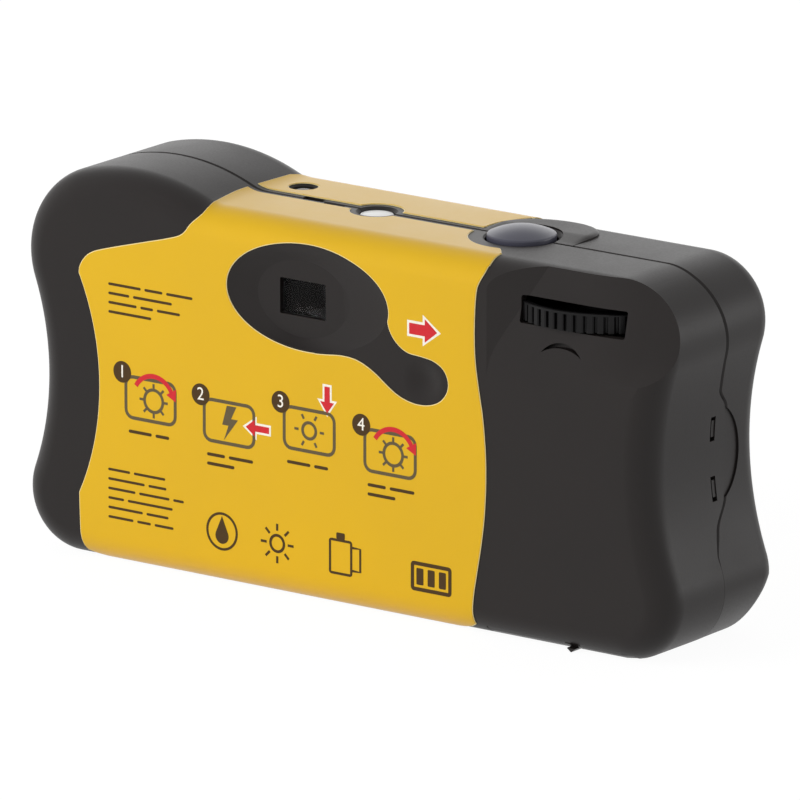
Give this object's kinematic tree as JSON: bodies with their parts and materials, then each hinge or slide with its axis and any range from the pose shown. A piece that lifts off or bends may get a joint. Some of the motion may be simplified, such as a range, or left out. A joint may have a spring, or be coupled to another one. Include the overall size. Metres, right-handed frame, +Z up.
{
  "type": "disposable film camera",
  "caption": "Single-use film camera with waisted ends, an arched flash housing, thumbwheel winder, shutter button, viewfinder dish and a wrapped label.",
  "frame": {"origin": "middle of the bounding box on the plane the camera stands on", "axes": "+X right as seen from the lens side, +Y from the lens towards the back, +Z up"},
  "size_m": [0.122, 0.0322, 0.0618],
  "materials": {
    "black_plastic": "fine moulded texture",
    "label_film": "printed label film, satin varnish",
    "clear_acrylic": "clear moulded acrylic",
    "spring_steel": "bright spring steel",
    "pale_plastic": "natural acetal",
    "white_plastic": "white",
    "contact_brass": "bright",
    "grey_plastic": "satin",
    "cartridge_tin": "plain coated tin",
    "film_base": "film base",
    "tube_glass": "clear tube",
    "lamp_amber": "amber lamp",
    "battery_jacket": "plain jacket",
    "board_laminate": "green laminate",
    "component_body": "component bodies",
    "coil_tape": "taped coil",
    "capacitor_sleeve": "dark sleeve",
    "reflector_metal": "bright formed metal",
    "red_plastic": "satin"
  },
  "bodies": {
    "body": {"front_cover": "black_plastic", "back_cover": "black_plastic", "chassis": "black_plastic", "front_label": "label_film", "back_label": "label_film", "lens": "clear_acrylic", "lens_holder": "black_plastic", "lens_bezel": "black_plastic", "blade_spring": "spring_steel", "sync_contact": "contact_brass", "drive_spring": "spring_steel", "button_spring": "spring_steel", "anti_reverse_pawl": "spring_steel", "cartridge_shell": "cartridge_tin", "film_strip": "film_base", "counter_window": "clear_acrylic", "viewfinder_front": "clear_acrylic", "viewfinder_eyepiece": "clear_acrylic", "ready_lamp": "lamp_amber", "ready_pipe": "clear_acrylic", "battery": "battery_jacket", "contact_plus": "contact_brass", "contact_minus": "contact_brass", "circuit_board": "board_laminate", "board_parts": "component_body", "transformer": "coil_tape", "flash_capacitor": "capacitor_sleeve", "flash_reflector": "reflector_metal", "flash_tube": "tube_glass", "flash_window": "clear_acrylic", "flash_switch": "contact_brass"},
    "wind": {"thumbwheel": "black_plastic", "cartridge_spool": "black_plastic"},
    "metering": {"sprocket": "pale_plastic"},
    "counter": {"counter_dial": "white_plastic"},
    "supply": {"supply_spool": "black_plastic", "film_roll": "film_base"},
    "release": {"shutter_button": "grey_plastic"},
    "latch": {"release_latch": "pale_plastic"},
    "blade": {"shutter_blade": "spring_steel"},
    "drive": {"drive_lever": "pale_plastic"},
    "flash_key": {"flash_button": "red_plastic"},
    "door": {"film_door": "black_plastic"}
  },
  "joints": [
    {"name": "wind_turn", "type": "hinge", "parent": "body", "child": "wind", "pos_m": [-0.0402, 0.0019, 0.0515], "axis": [0, 0, 1], "continuous": true},
    {"name": "sprocket_turn", "type": "hinge", "parent": "body", "child": "metering", "pos_m": [-0.0162, 0.006, 0.048], "axis": [0, 0, 1], "continuous": true},
    {"name": "counter_turn", "type": "hinge", "parent": "body", "child": "counter", "pos_m": [-0.0035, 0.0012, 0.053], "axis": [0, 0, 1], "continuous": true},
    {"name": "supply_turn", "type": "hinge", "parent": "body", "child": "supply", "pos_m": [0.0359, 0.00295, 0.02375], "axis": [0, 0, 1], "continuous": true},
    {"name": "shutter_press", "type": "slide", "parent": "body", "child": "release", "axis": [0, 0, -1], "range_m": [0, 0.0013], "stiffness_N_per_m": 900, "springref_m": -0.0005, "deforming": ["button_spring"]},
    {"name": "latch_tilt", "type": "hinge", "parent": "body", "child": "latch", "pos_m": [-0.0233, -0.0068, 0.052], "axis": [-1, 0, 0], "range_deg": [0, 22]},
    {"name": "blade_swing", "type": "hinge", "parent": "body", "child": "blade", "pos_m": [-0.00693, -0.00965, 0.03602], "axis": [0, -1, 0], "range_deg": [0, 22], "stiffness_Nm_per_rad": 0.0006, "springref_deg": -17.19},
    {"name": "drive_swing", "type": "hinge", "parent": "body", "child": "drive", "pos_m": [-0.0077, -0.0055, 0.0499], "axis": [0, 0, -1], "range_deg": [0, 25], "stiffness_Nm_per_rad": 0.002, "springref_deg": -11.46},
    {"name": "flash_press", "type": "slide", "parent": "body", "child": "flash_key", "axis": [0, 1, 0], "range_m": [0, 0.0012], "stiffness_N_per_m": 600, "springref_m": -0.0005},
    {"name": "door_open", "type": "hinge", "parent": "body", "child": "door", "pos_m": [-0.0402, -0.0106, 0.00094], "axis": [-1, 0, 0], "range_deg": [0, 95]}
  ],
  "couplings": [
    {"joint": "sprocket_turn", "follows": "wind_turn", "ratio": 1.3559},
    {"joint": "counter_turn", "follows": "wind_turn", "ratio": -0.04843},
    {"joint": "supply_turn", "follows": "wind_turn", "ratio": 0.8889},
    {"joint": "latch_tilt", "follows": "shutter_press", "rad_per_m": 263.16}
  ]
}
